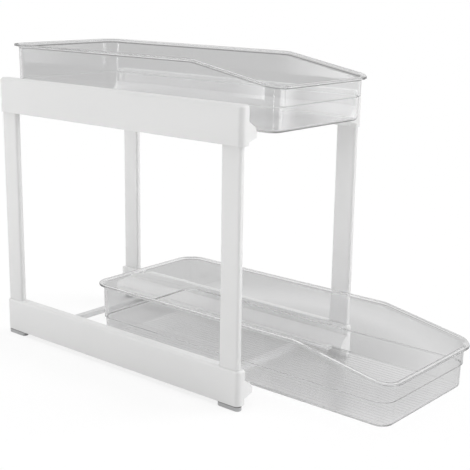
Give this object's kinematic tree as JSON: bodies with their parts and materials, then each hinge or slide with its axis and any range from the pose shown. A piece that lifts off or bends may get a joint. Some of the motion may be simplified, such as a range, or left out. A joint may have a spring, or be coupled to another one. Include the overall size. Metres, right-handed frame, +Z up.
{
  "type": "under-cabinet organizer",
  "caption": "Tiered under-cabinet organizer: white side frames on rubber feet carry clear, low-fronted trays that slide out over the front, the lower one shown pulled out.",
  "frame": {"origin": "on the floor under the middle of the piece as it stands, lower tray pulled out", "axes": "+X to the right seen from the front, +Y to the back, +Z up; the trays pull out along -Y"},
  "size_m": [0.224, 0.589, 0.3798],
  "materials": {
    "white_frame": "satin white moulded plastic",
    "clear_tray": "clear moulded plastic, glossy",
    "grey_rubber": "matt grey rubber"
  },
  "bodies": {
    "frame": {"bottom_left_rail": "white_frame", "bottom_right_rail": "white_frame", "top_left_rail": "white_frame", "top_right_rail": "white_frame", "front_left_post": "white_frame", "front_right_post": "white_frame", "rear_left_post": "white_frame", "rear_right_post": "white_frame", "bottom_front_crossbar": "white_frame", "bottom_rear_crossbar": "white_frame", "top_front_crossbar": "white_frame", "top_rear_crossbar": "white_frame", "front_left_foot": "grey_rubber", "front_right_foot": "grey_rubber", "rear_left_foot": "grey_rubber", "rear_right_foot": "grey_rubber"},
    "lower_tray_body": {"lower_tray": "clear_tray"},
    "upper_tray_body": {"upper_tray": "clear_tray"}
  },
  "joints": [
    {"name": "upper_tray_slide", "type": "slide", "parent": "frame", "child": "upper_tray_body", "axis": [0, -1, 0], "range_m": [0, 0.1667]},
    {"name": "lower_tray_slide", "type": "slide", "parent": "frame", "child": "lower_tray_body", "axis": [0, -1, 0], "range_m": [-0.1517, 0.015]}
  ]
}
